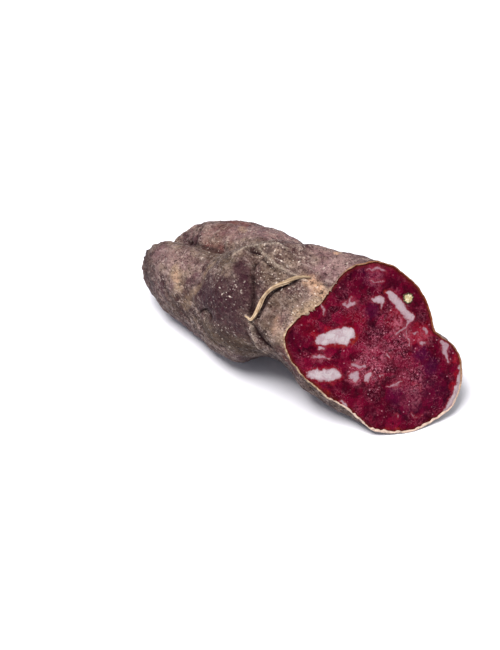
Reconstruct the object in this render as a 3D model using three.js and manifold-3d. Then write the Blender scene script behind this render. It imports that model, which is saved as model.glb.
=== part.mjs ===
// A cured sausage in a natural gut casing, cut across on the slant.
// Millimetres, +Z up, resting on z = 0, long axis along X, with the cut end towards +X.
//
// The casing dried in lobes: a stout front part with two bulges, one on the other, which runs back
// into two blunt lobes that lie side by side. The form is the soft union of a few ellipsoids. Rays
// from a spine inside the sausage find its surface, ring by ring, from the cut to the blunt end.
import * as THREE from 'three';
import { mergeVertices } from 'three/addons/utils/BufferGeometryUtils.js';
import Module from 'manifold-3d';

// Driving sizes, in millimetres and degrees
const CUT_CENTRE = [47, 0.5, 36];
const CUT_TURN = -34; // the cut's normal, turned from +X towards -Y
const CUT_TILT = 33; // and lifted above the table
const SPINE_END = [-55, 2, 21.5];
const SPINE_RINGS = 34;
const END_RINGS = 13;
const POINTS_AROUND = 94;
const LONGEST_RAY = 75;

// Lobes: place of the centre, half sizes, and turns about Z, Y and X in degrees
const FRONT_LOBES = {
  upperBulge: { at: [44, 9, 46.5], half: [59.5, 20.5, 25.5], turn: [-5, -9.5, 0] },
  nearBulge: { at: [34, -4.5, 27], half: [52, 24, 22.5], turn: [24, 19.5, -5] },
  farBulge: { at: [50, 6.5, 19], half: [61, 28, 17.5], turn: [-3, 1, 22] },
  belly: { at: [-1.5, -0.5, 31.5], half: [37, 25.5, 34], turn: [4.5, 0.5, 2] },
};
const NEAR_LOBE = {
  tip: { at: [-43.5, -9.5, 21.5], half: [42, 18, 22], turn: [-1.5, 2, 1.5] },
  hump: { at: [-15, -11, 31], half: [28, 23, 30], turn: [-3, 1, -3.5] },
};
const FAR_LOBE = {
  tip: { at: [-47.5, 16.5, 21.5], half: [37, 22, 21.5], turn: [13, -8, 0] },
  root: { at: [-24, 13.5, 26], half: [27, 22, 25], turn: [1, 0, 0] },
};

// Folds of the casing: a route on the surface, how wide and how deep
const FOLDS = {
  waist: {
    route: [[-16, -5, 63], [-12, -15.5, 61], [-2.5, -25.5, 54], [1.5, -31, 48], [7, -34, 42], [12, -35, 36]],
    wide: 2.6,
    deep: 2.2,
  },
  arch: { route: [[14, -33, 24], [9, -29, 16], [2, -21, 9], [-5, -11, 3]], wide: 9, deep: 11 },
  betweenLobes: { route: [[-76, 6, 30], [-70, 3, 34], [-62, 0.5, 39], [-52, 0.5, 41], [-42, 1.5, 43]], wide: 3, deep: 2.6 },
  besideRidge: { route: [[-15, -5.5, 63.5], [0, -9.5, 64], [13, -11, 61]], wide: 2.4, deep: 1.1 },
  pinch: { route: [[-16.5, -4.5, 63.5], [-15, -6.5, 63]], wide: 4.2, deep: 3.2 },
  dent: { route: [[-30, -31, 32], [-25, -32, 35.5]], wide: 3, deep: 1.6 },
};
const FOLD_STEPS = 20;

// Gentle unevenness of the dried casing
const LUMP_HEIGHT = 0.5;
const LUMP_WAVES = 9;
const LONGEST_WAVE = 34;
const WAVE_SHRINK = 0.84;
const GOLDEN_TURN = Math.PI * (3 - Math.sqrt(5));

// The dried strand of casing that lies loose over the waist, and the ridge that leads to it
const STRAND = {
  route: [
    [13, -5.2, 62.8], [10.1, -7.6, 62.9], [7.5, -9.9, 62.2], [5.8, -13.4, 61.4], [3.9, -16, 60.4], [1.6, -19.5, 58.6],
    [0.7, -23.3, 56], [0.6, -26.3, 52.5], [0.6, -28.6, 49.7], [-0.2, -30.8, 47.1], [-2, -31.2, 47.5], [-3.6, -31.3, 47.6],
  ],
  halfWide: [0.7, 0.9, 1.0, 1.1, 1.15, 1.05, 1.1, 1.05, 0.95, 0.9, 0.7, 0.45],
  steps: 26,
};
const RIDGE = {
  route: [[-17, -2, 63], [-8.5, -5, 65], [0.5, -7.5, 64.7], [8.5, -8.5, 63], [15, -7, 61]],
  halfWide: [0.5, 0.8, 0.8, 0.8, 0.5],
  steps: 14,
};
const TUBE_SIDES = 8;

// The peppercorn that the knife cut through, which stands a little proud of the cut
const PEPPERCORN = { at: [48.7, 21.8, 52.2], radius: 2.3, proud: 0.35, sunk: 1.5, sides: 12 };

const rad = THREE.MathUtils.degToRad;
const vector = (xyz) => new THREE.Vector3(...xyz);

const cutNormal = new THREE.Vector3(1, 0, 0).applyEuler(
  new THREE.Euler(0, -rad(CUT_TILT), rad(CUT_TURN), 'ZYX'),
);

// A lobe with its turn undone once, so that the distance to it is quick to work out
function readyLobe({ at, half, turn: [yaw, pitch, roll] }) {
  const turn = new THREE.Quaternion().setFromEuler(new THREE.Euler(rad(roll), rad(pitch), rad(yaw), 'ZYX'));
  return { at: vector(at), half: vector(half), unturn: turn.invert() };
}
const readyLobes = (lobes) => Object.values(lobes).map(readyLobe);
const [upperBulge, nearBulge, farBulge, belly] = readyLobes(FRONT_LOBES);
const [nearTip, nearHump] = readyLobes(NEAR_LOBE);
const [farTip, farRoot] = readyLobes(FAR_LOBE);

const inLobe = new THREE.Vector3();
function lobeDistance(point, lobe) {
  inLobe.copy(point).sub(lobe.at).applyQuaternion(lobe.unturn).divide(lobe.half);
  const reach = inLobe.length();
  const slope = inLobe.divide(lobe.half).length() + 1e-9;
  return (reach * (reach - 1)) / slope;
}

// The lesser of two distances, rounded over a width where they are alike
function softUnion(a, b, width) {
  const share = THREE.MathUtils.clamp(0.5 + (0.5 * (b - a)) / width, 0, 1);
  return THREE.MathUtils.lerp(b, a, share) - width * share * (1 - share);
}

const alongRoute = (route, count) => new THREE.CatmullRomCurve3(route.map(vector)).getSpacedPoints(count);
const folds = Object.values(FOLDS).map((fold) => ({
  ...fold,
  points: alongRoute(fold.route, FOLD_STEPS),
}));

function foldDepth(point) {
  let depth = 0;
  for (const { points, wide, deep } of folds) {
    const nearest = Math.min(...points.map((p) => p.distanceToSquared(point)));
    depth += deep * Math.exp(-nearest / (wide * wide));
  }
  return depth;
}

// A sum of sine waves, each shorter and lower than the one before and turned by the golden angle
const waves = Array.from({ length: LUMP_WAVES }, (_, k) => {
  const lift = -0.8 + (1.6 * k) / (LUMP_WAVES - 1);
  const level = Math.sqrt(1 - lift * lift);
  const turn = k * GOLDEN_TURN;
  const height = WAVE_SHRINK ** k;
  const pull = (2 * Math.PI) / (LONGEST_WAVE * height);
  return { push: new THREE.Vector3(Math.cos(turn) * level, Math.sin(turn) * level, lift).multiplyScalar(pull), turn, height };
});
const lumps = (point) =>
  LUMP_HEIGHT * waves.reduce((sum, w) => sum + w.height * Math.sin(w.push.dot(point) + w.turn), 0) * 0.5;

// How far a point is outside the sausage, before the cut: negative inside
function outside(point) {
  const lower = softUnion(lobeDistance(point, nearBulge), lobeDistance(point, farBulge), 6);
  const bulges = softUnion(lobeDistance(point, upperBulge), lower, 5);
  const front = softUnion(bulges, lobeDistance(point, belly), 10);
  const near = softUnion(lobeDistance(point, nearTip), lobeDistance(point, nearHump), 10);
  const far = softUnion(lobeDistance(point, farTip), lobeDistance(point, farRoot), 10);
  const whole = softUnion(softUnion(front, near, 6), far, 4);
  return Math.max(whole + foldDepth(point) - lumps(point), -point.z);
}

// The surface point on a ray that starts inside, by halving
function surfacePoint(from, direction) {
  const point = new THREE.Vector3();
  let near = 0;
  let far = LONGEST_RAY;
  for (let k = 0; k < 24; k++) {
    const middle = (near + far) / 2;
    point.copy(direction).multiplyScalar(middle).add(from);
    if (outside(point) < 0) near = middle;
    else far = middle;
  }
  return point;
}

// One ring of the casing. share runs from 0 at the cut to 1 at the spine's end, and back is the angle
// by which the rays lean backwards over the blunt end.
function ring(share, back) {
  const centre = vector(CUT_CENTRE).lerp(vector(SPINE_END), share);
  const facing = cutNormal.clone().lerp(new THREE.Vector3(1, 0, 0), THREE.MathUtils.smoothstep(share, 0, 0.85)).normalize();
  const level = new THREE.Vector3(0, 0, 1).cross(facing).normalize();
  const rise = facing.clone().cross(level);
  return Array.from({ length: POINTS_AROUND }, (_, j) => {
    const angle = (2 * Math.PI * j) / POINTS_AROUND;
    const direction = level.clone().multiplyScalar(Math.cos(angle)).addScaledVector(rise, Math.sin(angle));
    direction.multiplyScalar(Math.cos(back)).addScaledVector(facing, -Math.sin(back));
    return surfacePoint(centre, direction);
  });
}

// A closed surface from rings of the same count, with a point that closes each end
function closedSurface(rings, firstPoint, lastPoint) {
  const count = rings[0].length;
  const points = [firstPoint, ...rings.flat(), lastPoint];
  const last = points.length - 1;
  const at = (i, j) => 1 + i * count + (j % count);
  const faces = [];
  for (let j = 0; j < count; j++) {
    faces.push(0, at(0, j), at(0, j + 1));
    for (let i = 0; i < rings.length - 1; i++) {
      faces.push(at(i, j), at(i + 1, j), at(i, j + 1), at(i, j + 1), at(i + 1, j), at(i + 1, j + 1));
    }
    faces.push(last, at(rings.length - 1, j + 1), at(rings.length - 1, j));
  }
  const geometry = new THREE.BufferGeometry().setFromPoints(points);
  geometry.setIndex(faces);
  return geometry;
}

function casing() {
  const rings = [];
  for (let i = 0; i < SPINE_RINGS; i++) rings.push(ring(i / SPINE_RINGS, 0));
  for (let i = 0; i < END_RINGS; i++) rings.push(ring(1, (Math.PI / 2) * (i / END_RINGS)));
  const bluntEnd = surfacePoint(vector(SPINE_END), new THREE.Vector3(-1, 0, 0));
  return closedSurface(rings, vector(CUT_CENTRE), bluntEnd);
}

// A rounded strip along a route, flatter than it is wide, with its own half width at each route point
function strip({ route, halfWide, steps }, flatness) {
  const path = new THREE.CatmullRomCurve3(route.map(vector));
  const width = new THREE.CatmullRomCurve3(halfWide.map((w, i) => new THREE.Vector3(i, w, 0)));
  const middle = vector(SPINE_END).lerp(vector(CUT_CENTRE), 0.5);
  const rings = [];
  for (let i = 0; i <= steps; i++) {
    const at = path.getPoint(i / steps);
    const along = path.getTangent(i / steps);
    const out = at.clone().sub(middle).setX(0);
    const side = along.clone().cross(out).normalize();
    const up = side.clone().cross(along).normalize();
    const half = width.getPoint(i / steps).y;
    rings.push(
      Array.from({ length: TUBE_SIDES }, (_, j) => {
        const angle = (2 * Math.PI * j) / TUBE_SIDES;
        return at.clone().addScaledVector(side, half * Math.cos(angle)).addScaledVector(up, half * flatness * Math.sin(angle));
      }),
    );
  }
  return closedSurface(rings, path.getPoint(0), path.getPoint(1));
}

function peppercorn() {
  const { at, radius, proud, sunk, sides } = PEPPERCORN;
  const geometry = new THREE.CylinderGeometry(radius * 0.85, radius, proud + sunk, sides);
  geometry.translate(0, (proud - sunk) / 2, 0);
  geometry.applyQuaternion(new THREE.Quaternion().setFromUnitVectors(new THREE.Vector3(0, 1, 0), cutNormal));
  return geometry.translate(...at);
}

const wasm = await Module();
wasm.setup();

function solidFrom(geometry) {
  const bare = geometry.clone();
  bare.deleteAttribute('normal');
  bare.deleteAttribute('uv');
  const merged = mergeVertices(bare, 1e-4);
  const mesh = new wasm.Mesh({
    numProp: 3,
    vertProperties: merged.attributes.position.array,
    triVerts: new Uint32Array(merged.index.array),
  });
  return new wasm.Manifold(mesh);
}

function geometryFrom(solid) {
  const mesh = solid.getMesh();
  const geometry = new THREE.BufferGeometry();
  geometry.setAttribute('position', new THREE.BufferAttribute(mesh.vertProperties, 3));
  geometry.setIndex(new THREE.BufferAttribute(mesh.triVerts, 1));
  geometry.computeVertexNormals();
  return geometry;
}

const whole = [strip(STRAND, 0.75), strip(RIDGE, 1), peppercorn()]
  .map(solidFrom)
  .reduce((joined, piece) => joined.add(piece), solidFrom(casing()));

const geometry = geometryFrom(whole);
geometry.computeBoundingBox();
const middle = geometry.boundingBox.getCenter(new THREE.Vector3());

const sausage = new THREE.Mesh(
  geometry,
  new THREE.MeshStandardMaterial({ name: 'dried_casing', color: 0x6b5650, roughness: 0.62, metalness: 0 }),
);
sausage.name = 'sausage';
sausage.position.set(-middle.x, -middle.y, 0); // the origin is under the middle of the sausage

const curedSausage = new THREE.Group();
curedSausage.add(sausage);

export default curedSausage;
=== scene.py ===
# %% [markdown]
# # A cured sausage, cut across on the slant
# The real thing is one piece: seasoned meat and fat in a natural gut casing that dried, shrank and
# wrinkled. The CAD holds it as one solid. Here it is dressed with four finer pieces that fill the same
# space: the casing, the cut meat in it, the peppercorn that the knife went through, and a dried strand of
# casing over the waist. Every length below is in millimetres until a mesh is made, because that is how a
# cook would measure it.

import bpy
import numpy as np
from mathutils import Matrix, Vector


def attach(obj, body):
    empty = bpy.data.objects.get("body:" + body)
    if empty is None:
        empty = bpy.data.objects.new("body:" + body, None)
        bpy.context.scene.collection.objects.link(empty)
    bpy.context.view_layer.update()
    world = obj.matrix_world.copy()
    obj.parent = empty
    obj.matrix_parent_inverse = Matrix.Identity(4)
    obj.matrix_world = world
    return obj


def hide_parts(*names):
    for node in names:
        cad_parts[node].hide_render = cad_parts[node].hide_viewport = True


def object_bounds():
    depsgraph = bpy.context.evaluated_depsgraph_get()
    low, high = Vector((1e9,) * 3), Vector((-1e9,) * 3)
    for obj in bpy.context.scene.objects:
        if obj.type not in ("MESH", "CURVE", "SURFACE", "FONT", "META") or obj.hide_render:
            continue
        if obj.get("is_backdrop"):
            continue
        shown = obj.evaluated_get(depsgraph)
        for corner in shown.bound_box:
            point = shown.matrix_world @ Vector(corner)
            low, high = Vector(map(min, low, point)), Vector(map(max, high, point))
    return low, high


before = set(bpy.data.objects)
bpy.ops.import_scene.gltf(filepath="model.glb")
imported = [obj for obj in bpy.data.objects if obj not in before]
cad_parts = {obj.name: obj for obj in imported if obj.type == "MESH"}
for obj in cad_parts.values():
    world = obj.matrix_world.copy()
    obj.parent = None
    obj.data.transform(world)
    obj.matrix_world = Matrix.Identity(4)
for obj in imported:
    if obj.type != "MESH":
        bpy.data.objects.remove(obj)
cad_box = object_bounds()
print("CAD box in metres:", [np.round(corner, 4).tolist() for corner in cad_box])

# %% [markdown]
# ## From lengths to a mesh
# A closed surface is a stack of rings with one point at each end, like the parallels of a globe and its
# poles. Blender could loft this from curves, but whole arrays are faster and give every point its own
# relief, so the rings are numpy arrays, and foreach_set hands them to the mesh in one go.

# %% Rings to a closed mesh
MM = 0.001
ROW_SHIFT = np.array([2.143, -2.5732, 0.0])  # the frame's origin is under the middle of the sausage


def closed_rings(rings, first_point, last_point):
    """Points, quads and end triangles of a closed surface: corner (i, j) joins (i + 1, j), (i + 1, j + 1)
    and (i, j + 1)."""
    count, around = rings.shape[:2]
    points = np.concatenate([[first_point], rings.reshape(-1, 3), [last_point]])
    i, j = np.meshgrid(np.arange(count - 1), np.arange(around), indexing="ij")
    here, after = i * around, (j + 1) % around
    corners = (here + j, here + around + j, here + around + after, here + after)
    quads = 1 + np.stack([corner.ravel() for corner in corners], axis=1)
    j = np.arange(around)
    after = (j + 1) % around
    end = 1 + (count - 1) * around
    front = np.stack([np.zeros_like(j), 1 + j, 1 + after], axis=1)
    back = np.stack([np.full_like(j, len(points) - 1), end + after, end + j], axis=1)
    return points, quads, np.concatenate([front, back])


def make_piece(name, points, quads, triangles):
    """A smooth Blender object from points in millimetres and two arrays of faces."""
    mesh = bpy.data.meshes.new(name)
    mesh.vertices.add(len(points))
    mesh.vertices.foreach_set("co", ((points + ROW_SHIFT) * MM).ravel())
    corners = np.concatenate([quads.ravel(), triangles.ravel()])
    counts = np.concatenate([np.full(len(quads), 4), np.full(len(triangles), 3)])
    mesh.loops.add(len(corners))
    mesh.loops.foreach_set("vertex_index", corners)
    mesh.polygons.add(len(counts))
    mesh.polygons.foreach_set("loop_start", np.cumsum(counts) - counts)
    mesh.polygons.foreach_set("use_smooth", np.ones(len(counts), dtype=bool))
    mesh.update(calc_edges=True)
    mesh.validate()
    piece = bpy.data.objects.new(name, mesh)
    bpy.context.scene.collection.objects.link(piece)
    print(name, "has", 2 * len(quads) + len(triangles), "triangles")
    return piece


def paint_on(piece, name, values):
    """A number for each point of a piece, which a material reads by its name."""
    layer = piece.data.attributes.new(name, "FLOAT", "POINT")
    layer.data.foreach_set("value", np.asarray(values, dtype=np.float32))


def paint_rings(piece, name, rings, first=0, last=0):
    """As paint_on, from a number for each point of the rings and one for each end point."""
    paint_on(piece, name, np.concatenate([[first], np.ravel(rings), [last]]))


def full_turn(count):
    """Angles in radians at equal steps round a circle."""
    return np.arange(count) * 2 * np.pi / count


def unit(ways):
    """Each direction divided by its length."""
    return ways / np.linalg.norm(ways, axis=-1, keepdims=True)


# %% [markdown]
# ## Unevenness
# Nothing on a sausage repeats, so lumps, wrinkles and the ragged edges of the fat all come from one source:
# gradient noise. A Displace modifier could do it, but here the same noise also places colours, so it is
# worked out once in numpy. A fixed table of directions keeps every run the same.

# %% Gradient noise on whole arrays
SLOPES = unit(np.random.default_rng(7).normal(size=(256, 3)))
STEP_X, STEP_Y, STEP_Z, STEP_SEED, STIR = 374761393, 668265263, 2147483647, 974634777, 1274126177
LOW_BITS = 0xFFFFFFFF


def rough(points, size, seed=0):
    """Noise from about -1 to 1 with bumps of one size: each lattice corner has a slope, and the eight slopes
    around a point are blended by the smooth curve 6t^5 - 15t^4 + 10t^3."""
    places = np.asarray(points) / size + 13.7 * seed
    cell = np.floor(places).astype(np.int64)
    inside = places - cell
    blend = inside**3 * (inside * (inside * 6 - 15) + 10)
    total = np.zeros(places.shape[:-1])
    for corner in np.ndindex(2, 2, 2):
        x, y, z = np.moveaxis(cell + corner, -1, 0)
        mixed = (x * STEP_X + y * STEP_Y + z * STEP_Z + seed * STEP_SEED) & LOW_BITS
        mixed = ((mixed ^ (mixed >> 13)) * STIR) & LOW_BITS
        slope = SLOPES[(mixed ^ (mixed >> 16)) & 255]
        share = np.where(corner, blend, 1 - blend).prod(axis=-1)
        total += share * ((inside - corner) * slope).sum(axis=-1)
    return 1.6 * total


def layered(points, size, seed=0, layers=3):
    """Noise of several sizes added up, each half as large and half as high as the one before."""
    return sum(rough(points, size / 2**k, seed + k) / 2**k for k in range(layers))


def smooth_step(values, low, high):
    """0 below low, 1 above high, and 3t^2 - 2t^3 between them."""
    share = np.clip((values - low) / (high - low), 0, 1)
    return share * share * (3 - 2 * share)


trial_points = np.random.default_rng(1).uniform(0, 90, (4000, 3))
print("noise spread:", np.round(np.std(rough(trial_points, 5)), 2))

# %% [markdown]
# ## The form of the sausage
# The casing filled out in lobes: a stout front part of two bulges and a belly, which runs back into two
# blunt lobes side by side. Metaballs would melt them together too, but they can't be steered this closely.
# So each lobe is an ellipsoid, and a soft union rounds the valleys between them. The numbers are those of
# the CAD.

# %% Lobes and their soft union
LOBES = {  # place of the centre, half sizes, and turns about Z, Y and X in degrees
    "upper_bulge": ((44, 9, 46.5), (59.5, 20.5, 25.5), (-5, -9.5, 0)),
    "near_bulge": ((34, -4.5, 27), (52, 24, 22.5), (24, 19.5, -5)),
    "far_bulge": ((50, 6.5, 19), (61, 28, 17.5), (-3, 1, 22)),
    "belly": ((-1.5, -0.5, 31.5), (37, 25.5, 34), (4.5, 0.5, 2)),
    "near_tip": ((-43.5, -9.5, 21.5), (42, 18, 22), (-1.5, 2, 1.5)),
    "near_hump": ((-15, -11, 31), (28, 23, 30), (-3, 1, -3.5)),
    "far_tip": ((-47.5, 16.5, 21.5), (37, 22, 21.5), (13, -8, 0)),
    "far_root": ((-24, 13.5, 26), (27, 22, 25), (1, 0, 0)),
}


def turned(yaw, pitch, roll):
    """The matrix that turns about X, then Y, then Z."""
    turns = np.radians((yaw, pitch, roll))
    (a, b, c), (d, e, f) = np.cos(turns), np.sin(turns)
    about_z = np.array([[a, -d, 0], [d, a, 0], [0, 0, 1]])
    about_y = np.array([[b, 0, e], [0, 1, 0], [-e, 0, b]])
    about_x = np.array([[1, 0, 0], [0, c, -f], [0, f, c]])
    return about_z @ about_y @ about_x


def lobe_distance(points, name):
    """Squeeze space until the lobe is a ball: the distance is reach times (reach - 1), over the slope of
    the reach."""
    centre, half, turns = LOBES[name]
    local = (points - np.array(centre)) @ turned(*turns) / half
    reach = np.linalg.norm(local, axis=-1)
    return reach * (reach - 1) / (np.linalg.norm(local / half, axis=-1) + 1e-9)


def soft_union(a, b, width):
    """The lesser of two distances, rounded over a width: mix(b, a, h) - width * h * (1 - h)."""
    share = np.clip(0.5 + 0.5 * (b - a) / width, 0, 1)
    return b * (1 - share) + a * share - width * share * (1 - share)


def plain_form(points):
    """Distance to the melted lobes, negative inside."""
    near = {name: lobe_distance(points, name) for name in LOBES}
    bulges = soft_union(near["upper_bulge"], soft_union(near["near_bulge"], near["far_bulge"], 6), 5)
    front = soft_union(bulges, near["belly"], 10)
    near_lobe = soft_union(near["near_tip"], near["near_hump"], 10)
    far_lobe = soft_union(near["far_tip"], near["far_root"], 10)
    return soft_union(soft_union(front, near_lobe, 6), far_lobe, 4)


print(len(LOBES), "lobes melt into one form")

# %% [markdown]
# ## Folds and creases
# Where the gut was pinched while it dried, it has a deep waist between hump and front, an arch under it, a
# dimple, and thin sharp creases. Sculpting would suit them, but it can't be written down. So each is a
# route over the surface with a width and a depth, and it is carved by how near a point lies to the route.

# %% Routes over the surface
FOLDS = {  # soft valleys: route, width, depth
    "waist": (((-16, -5, 63), (-12, -15.5, 61), (-2.5, -25.5, 54), (1.5, -31, 48), (7, -34, 42),
               (12, -35, 36)), 2.6, 2.2),
    "arch": (((14, -33, 24), (9, -29, 16), (2, -21, 9), (-5, -11, 3)), 9, 11),
    "between_lobes": (((-76, 6, 30), (-70, 3, 34), (-62, 0.5, 39), (-52, 0.5, 41), (-42, 1.5, 43)), 3, 2.6),
    "beside_ridge": (((-15, -5.5, 63.5), (0, -9.5, 64), (13, -11, 61)), 2.4, 1.1),
    "pinch": (((-16.5, -4.5, 63.5), (-15, -6.5, 63)), 4.2, 3.2),
    "dent": (((-30, -31, 32), (-25, -32, 35.5)), 3, 1.6),
}
CREASES = {  # sharp lines: route, width, depth, where a depth below zero is a raised edge
    "waist_line": (((-14, -11, 61.2), (-12.6, -14.1, 60), (-8, -20.1, 56.9), (-3.8, -24.7, 52.7),
                    (-2, -27, 50.5), (-1.9, -29.5, 48.4)), 0.8, 1.6),
    "waist_lip": (((-15, -14, 60.3), (-10.5, -20, 57.2), (-6.3, -24.7, 53.3),
                   (-4.3, -28.7, 49.6)), 1.5, -0.6),
    "furrow": (((-0.5, -31.2, 45.6), (2.8, -31.7, 43.7), (5.1, -32.3, 41.8), (8.8, -32.5, 39.2),
                (12.7, -32.6, 38.3)), 1.1, 1.9),
    "fold_edge": (((-1, -31.5, 46.3), (0.9, -31.7, 44.4), (3.3, -33.3, 40.3), (6.7, -32.2, 34.3),
                   (8.9, -29.8, 31.6)), 0.9, -1.1),
    "fold_foot": (((-3, -32.3, 43.5), (-0.5, -33, 39), (2.5, -32.5, 34)), 1.1, 0.8),
    "second_line": (((8, -33, 44.5), (11, -33.5, 42), (14, -33.6, 38.5)), 0.8, 0.7),
    "ridge": (
        ((-20.6, -2.3, 60.8), (-16.8, -3.3, 60.5), (-10.5, -6.6, 62.2), (-5.9, -8.5, 63),
         (-1.5, -8.8, 63), (2.7, -9, 62.7), (8.3, -8, 62.5), (13, -7, 62)),
        0.6,
        -1.7,
    ),
    "ridge_foot": (((-14, -6.9, 61.3), (-11.5, -8.2, 62), (-7, -10, 62.6), (-2.5, -10.5, 62.6)), 0.65, 1.3),
    "ridge_back": (((-2, -6.8, 63.6), (3, -7, 63.4), (6.5, -6.6, 63)), 0.6, 0.9),
    "pinch_crest": (((-26, -12, 59), (-25, -8, 60.3), (-22.5, -2.5, 61), (-18, 0.5, 62), (-12, 1.5, 64),
                     (-6, 1, 65.3)), 1.1, -1.3),
    "pinch_back": (((-31, -8, 56), (-29, -3, 56.5), (-26, 2, 57.5), (-20, 4.5, 59.5),
                    (-12, 5.5, 62)), 1.3, 1.1),
    "between_line": (((-72, 4, 33), (-66, 2.5, 36.5), (-56.7, 0.6, 39.7), (-48.4, 1.6, 40.7),
                      (-40, 2.5, 43)), 0.8, 0.8),
    "strand_shade": (((8.6, -9.9, 61.4), (6.9, -13.4, 60.6), (5, -16, 59.6), (2.7, -19.5, 57.8),
                      (1.8, -23.3, 55.2), (1.7, -26.3, 51.7), (1.5, -29, 48.4)), 0.9, 1.2),
    "dimple": (((-20.5, -5.1, 61.8), (-17, -4.6, 62.8)), 1.6, 1.5),
    "crescent": (((-33.8, -29.6, 30.4), (-31.2, -29.3, 33.1), (-28.1, -30, 35.1), (-25.8, -30.5, 34.8),
                  (-24.4, -31.4, 33.5)), 0.8, 1.3),
    "hump_line": (((-37.8, -13, 49), (-38.2, -20.2, 45), (-37.7, -25, 40)), 0.9, 0.6),
    "hump_edge": (((-38, -26.8, 35.5), (-36.7, -26, 38.6), (-34.1, -25.4, 42.5), (-30.2, -25.5, 46.7),
                   (-25, -26, 50)), 0.9, -0.7),
    "hump_pucker": (((-33, -8, 52), (-27, -13, 54), (-19, -16, 57.5)), 1.0, 0.5),
    "root_fan_1": (((15, -6, 62.4), (21, -4, 62.5), (26, -2, 61.5)), 0.7, 0.7),
    "root_fan_2": (((15, -7, 62.2), (21, -9, 60.5), (25, -12, 57.5)), 0.7, 0.7),
    "root_fan_3": (((13, -8, 62), (17, -14, 58), (19, -19, 54)), 0.7, 0.6),
    "far_tip_1": (((-69.3, 3.5, 34.4), (-70, 6.5, 34.9), (-71.4, 11.1, 35.4), (-72, 16, 34)), 0.9, 0.9),
    "far_tip_2": (((-65.2, 3, 36.2), (-66.2, 6.7, 36.8), (-67.7, 10.7, 37.3), (-69, 16, 37)), 0.9, 0.8),
    "far_tip_3": (((-74.9, 5.6, 31.3), (-75.9, 8.6, 31.6), (-76.5, 13, 31)), 0.9, 0.8),
    "far_line_1": (((-56.4, 5.9, 39.5), (-56.9, 8.8, 40.5), (-57.4, 13.1, 41.3)), 0.6, -0.85),
    "far_line_2": (((-45.7, 4.7, 42.3), (-47.5, 9, 43.5), (-47.6, 14.3, 44.5)), 0.6, -0.85),
    "near_side_1": (((-60, -24, 30), (-52, -27, 25), (-42, -28.5, 20)), 1.1, 0.7),
    "near_side_2": (((-38, -28, 26), (-27, -31, 22), (-15, -33, 22)), 1.1, 0.7),
    "front_side_1": (((18, -31, 41), (26, -30, 32), (36, -27, 20)), 1.0, 0.6),
    "front_side_2": (((14, -33, 30), (24, -30, 20), (36, -24, 9)), 1.2, 0.7),
    "far_side_1": (((-30, 38, 22), (-12, 33, 30), (6, 28, 40)), 1.4, 0.9),
    "far_side_2": (((20, 32, 32), (38, 34, 24), (60, 35, 18)), 1.2, 0.7),
    "far_side_3": (((-66, 32, 26), (-54, 37, 22), (-40, 38, 16)), 1.1, 0.7),
}


def along(route, count):
    """Evenly spread parameters on a Catmull-Rom curve, which passes through every point of its route."""
    knots = np.asarray(route, dtype=float)
    knots = np.concatenate([[2 * knots[0] - knots[1]], knots, [2 * knots[-1] - knots[-2]]])
    t = np.linspace(0, len(route) - 1 - 1e-9, count)
    k = t.astype(int)
    t = (t - k)[:, None]
    a, b, c, d = knots[k], knots[k + 1], knots[k + 2], knots[k + 3]
    return 0.5 * (2 * b + (c - a) * t + (2 * a - 5 * b + 4 * c - d) * t**2 + (3 * b - a - 3 * c + d) * t**3)


def gap_to(points, route, count=24):
    """The distance from each point to the nearest of the route's points."""
    nearest = np.full(points.shape[:-1], np.inf)
    for place in along(route, count):
        nearest = np.minimum(nearest, ((points - place) ** 2).sum(axis=-1))
    return np.sqrt(nearest)


def gap_along_skin(points, normals, route, count=40, reach=6.0):
    """As gap_to, but only the part of each distance that lies in the surface counts, for routes drawn near
    it."""
    nearest = np.full(points.shape[:-1], np.inf)
    for place in along(route, count):
        away = points - place
        depth = (away * normals).sum(axis=-1)
        total = (away * away).sum(axis=-1)
        nearest = np.where(total < reach * reach, np.minimum(nearest, total - depth * depth), nearest)
    return np.sqrt(np.maximum(nearest, 0))


LUMP_HEIGHT = 0.5
LONGEST_WAVE = 34
WAVE_SHRINK = 0.84
WAVES = 9
GOLDEN_TURN = np.pi * (3 - np.sqrt(5))


def lumps(points):
    """Nine sine waves, each shorter and lower than the last and turned by the golden angle, as in the CAD."""
    total = 0
    for k in range(WAVES):
        lift = -0.8 + 1.6 * k / (WAVES - 1)
        level = np.sqrt(1 - lift * lift)
        height = WAVE_SHRINK**k
        way = np.array([np.cos(k * GOLDEN_TURN) * level, np.sin(k * GOLDEN_TURN) * level, lift])
        phase = points @ way * 2 * np.pi / (LONGEST_WAVE * height) + k * GOLDEN_TURN
        total = total + height * np.sin(phase)
    return 0.5 * LUMP_HEIGHT * total


def folded_form(points):
    """The plain form, with depth * exp(-(distance / width)^2) carved off at each fold, less slow lumps."""
    carved = 0
    for route, wide, deep in FOLDS.values():
        carved = carved + deep * np.exp(-((gap_to(points, route) / wide) ** 2))
    return plain_form(points) + carved - lumps(points)


print(len(FOLDS), "folds and", len(CREASES), "creases")

# %% [markdown]
# ## The casing's surface
# Rays start on a spine inside the sausage, and the surface is where each ray leaves the form. The first
# ring lies in the plane of the cut, the rings behind it turn upright, and at the blunt end the rays lean
# back to a pole. A remeshed volume would find the same form, but rays give a tidy grid with an exact cut
# edge.

# %% Rays from the spine
CUT_CENTRE = np.array([47, 0.5, 36])
SPINE_END = np.array([-55, 2, 21.5])
CUT_NORMAL = turned(-34, -33, 0) @ [1, 0, 0]
CUT_LEVEL = unit(np.cross([0, 0, 1], CUT_NORMAL))
CUT_RISE = np.cross(CUT_NORMAL, CUT_LEVEL)
AROUND = 430
SPINE_RINGS = 148
END_RINGS = 52
RAY_LENGTH = 75.0
SEARCHES = ((plain_form, 13, 0), (folded_form, 11, 9))  # form, halvings, and how far to step back before them


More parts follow.
